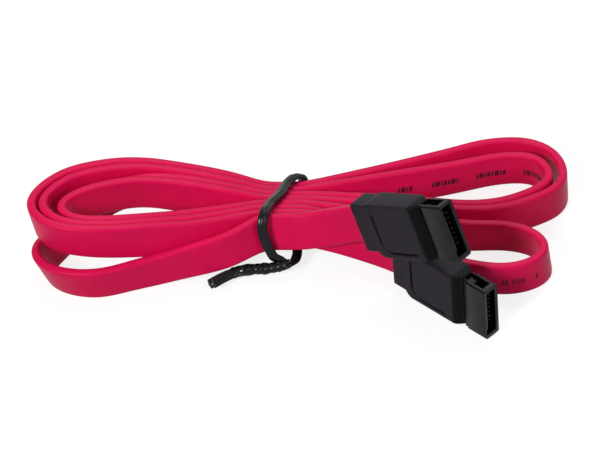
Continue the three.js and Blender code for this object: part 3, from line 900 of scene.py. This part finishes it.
@dataclass
class Print:
    """Plain ink ticks on the strip's broad faces, where the photograph has its print."""

    strip: Strip
    runs: tuple[tuple[float, float, Side], ...] = (
        (491.4, 492.2, Side.LEFT),
        (494.8, 497.4, Side.LEFT),
        (498.4, 499.6, Side.LEFT),
        (700.8, 704.8, Side.RIGHT),
        (709.6, 716.2, Side.RIGHT),
        (720.8, 728.6, Side.RIGHT),
        (733.0, 740.0, Side.RIGHT),
    )
    ticks: tuple[float, ...] = (0.5, 1.1, 0.35, 0.8)
    gap: float = 0.3
    row: float = -0.3
    height: float = 1.5
    lift: float = 0.045

    def tick(self, start: float, end: float, side: Side) -> np.ndarray:
        """One tick's four corners on a broad face.

        Args:
            start: Where the tick starts, as a distance along the strip.
            end: Where it ends.
            side: The broad face that carries it.

        Returns:
            The corners, turning counter-clockwise seen from outside.
        """
        strip = self.strip
        along = np.r_[0, np.cumsum(np.linalg.norm(np.diff(strip.points, axis=0), axis=1))]
        middle, through, across = (
            np.stack([np.interp([start, end], along, column) for column in table.T], axis=1)
            for table in (strip.points, strip.through, strip.across)
        )
        face = middle + through * side.value * (strip.thickness / 2 + self.lift) + across * self.row
        low, high = (face + across * way * self.height / 2 for way in (-1, 1))
        return np.array([low[0], low[1], high[1], high[0]])[:: -side.value]

    def build(self, ink: bpy.types.Material) -> bpy.types.Object:
        """Every run as a row of ticks of uneven length."""
        corners = []
        for start, end, side in self.runs:
            for tick in itertools.cycle(self.ticks):
                corners.append(self.tick(start, min(start + tick, end), side))
                start += tick + self.gap
                if start >= end:
                    break
        faces = [tuple(range(k, k + 4)) for k in range(0, 4 * len(corners), 4)]
        piece = new_piece("jacket_print", np.vstack(corners), faces, smooth=False)
        piece.data.materials.append(ink)
        return piece


def stage_and_camera(half: float = 3000, drop: float = 0.05) -> None:
    """The pale table, the soft lamps and the camera of the photograph.

    Args:
        half: Half the table's side.
        drop: How far its top lies under height 0.
    """
    scene = bpy.context.scene
    scene.view_settings.view_transform = "Standard"
    camera = bpy.data.objects.new("camera", bpy.data.cameras.new("camera"))
    camera.data.sensor_width = SENSOR
    camera.data.lens = FOCAL_PIXELS / PHOTO_WIDTH_PIXELS * SENSOR
    camera.data.clip_end = 20
    camera.location = (-0.0006, -0.548, 0.436)
    camera.rotation_euler = (math.radians(52), 0, 0)
    bpy.context.collection.objects.link(camera)
    scene.camera = camera

    ways = ((-1, -1), (1, -1), (1, 1), (-1, 1))
    corners = np.array([(half * x, half * y, -drop) for x, y in ways])
    floor = new_piece("table", corners, [(0, 1, 2, 3)], smooth=False)
    floor.data.materials.append(table_finish())
    scene.world = pale_room(0.1)

    lamps = (
        ("key", (-0.32, -0.57, 0.45), 0.2, 4.15),
        ("fill", (0.50, -0.45, 0.35), 0.3, 1.05),
        ("top", (0.03, 0.32, 0.62), 0.4, 2.0),
    )
    for name, place, size, power in lamps:
        lamp = bpy.data.objects.new(name, bpy.data.lights.new(name, "AREA"))
        lamp.data.shape = "DISK"
        lamp.data.size = size
        lamp.data.energy = power
        lamp.location = place
        lamp.rotation_euler = (-Vector(place)).to_track_quat("-Z", "Y").to_euler()
        bpy.context.collection.objects.link(lamp)


def table_finish(glow: float = 0.81) -> bpy.types.Material:
    """A pale table that the camera and mirrors see brighter than it lights the object."""
    shades = Shades("table_white")
    shades.base((0.3, 0.3, 0.3, 1), 0.7, Specular_IOR_Level=0.1, Emission_Strength=glow)
    rays = shades.node("ShaderNodeLightPath").outputs
    seen = Term(shades, rays["Is Camera Ray"]) + Term(shades, rays["Is Glossy Ray"])
    seen = seen + Term(shades, rays["Is Transmission Ray"])
    shades.feed(shades.shader.inputs["Emission Color"], shades.blend(seen, (0, 0, 0, 1), (1, 1, 1, 1)))
    return shades.material


def pale_room(light: float) -> bpy.types.World:
    """A world that lights the object softly and looks white to the camera and in mirrors.

    Args:
        light: The strength with which it lights the object.

    Returns:
        The world.
    """
    world = bpy.data.worlds.new("studio")
    world.use_nodes = True
    nodes, links = world.node_tree.nodes, world.node_tree.links
    nodes.clear()
    soft, white = nodes.new("ShaderNodeBackground"), nodes.new("ShaderNodeBackground")
    soft.inputs["Strength"].default_value = light
    for background in (soft, white):
        background.inputs["Color"].default_value = (1, 1, 1, 1)
    rays = nodes.new("ShaderNodeLightPath").outputs
    seen = rays["Is Camera Ray"]
    for kind in ("Is Glossy Ray", "Is Transmission Ray"):
        total = nodes.new("ShaderNodeMath")
        links.new(seen, total.inputs[0])
        links.new(rays[kind], total.inputs[1])
        seen = total.outputs[0]
    mix, output = nodes.new("ShaderNodeMixShader"), nodes.new("ShaderNodeOutputWorld")
    for source, socket in ((seen, 0), (soft.outputs[0], 1), (white.outputs[0], 2)):
        links.new(source, mix.inputs[socket])
    links.new(mix.outputs[0], output.inputs[0])
    return world


def dress_small_parts() -> None:
    """Gives the CAD nodes that stay their finishes, by the kind of part in their names."""
    finishes = {
        # Painted shade: the contacts' gold is laid near black, for the shade deep inside the slot.
        "contact": Metal("gilt_with_painted_shade", (0.06, 0.043, 0.02, 1), (0.035, 0.025, 0.012, 1), 0.3).material(),
        "drain": Metal("tinned", (0.52, 0.52, 0.54, 1), (0.36, 0.36, 0.38, 1), 0.3).material(),
        "core": Insulation("core_white", (0.76, 0.74, 0.70, 1), (0.64, 0.61, 0.56, 1)).material(),
        "mould": Insulation("mould_cream", (0.68, 0.64, 0.54, 1), (0.55, 0.51, 0.42, 1)).material(),
    }
    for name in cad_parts:
        for kind, finish in finishes.items():
            if kind in name.split("_"):
                mesh = bpy.data.objects[name].data
                mesh.materials.clear()
                mesh.materials.append(finish)


def stand_for(piece: bpy.types.Object, node: str) -> bpy.types.Object:
    """Puts a piece on the body, in the place of a CAD node, which it hides.

    Args:
        piece: The dressed piece.
        node: The CAD node that it replaces.

    Returns:
        The same piece.
    """
    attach(piece, "root")
    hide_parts(node)
    LOG.info("%s: %d faces", piece.name, len(piece.data.polygons))
    return piece


def main() -> None:
    """Builds the stage and the strip first, and then each sub-assembly in order."""
    logging.basicConfig(level=logging.INFO, format="%(message)s")
    stage_and_camera()

    strip = Strip()
    jacket = stand_for(strip.build(Vinyl().material()), "cable_jacket")
    black = Moulding().material()
    dark = Moulding(
        "nose_black", (0.011, 0.0095, 0.0125, 1), (0.016, 0.014, 0.0175, 1), roughness=0.35, shine=0.1
    ).material()
    for grip in (Grip(PLUG_A), Grip(PLUG_B, collar_high=5.6)):
        letter = grip.plug.letter
        stand_for(grip.build(black), f"plug_{letter}_grip")
        stand_for(Insulator(grip.plug).build(dark), f"plug_{letter}_housing")
    iron = Metal("iron", (0.40, 0.40, 0.42, 1), (0.22, 0.20, 0.20, 1), 0.35).material()
    stand_for(Tie().build(Gloss().material()), "tie_ribbon")
    stand_for(Tie().build_wire(iron), "tie_wire")
    marks = Print(strip).build(Ink().material())
    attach(marks, "root")
    dress_small_parts()
    strip.width * MM
    LOG.info("jacket: %.1f mm long", strip.length)


if __name__ == "__main__":
    main()
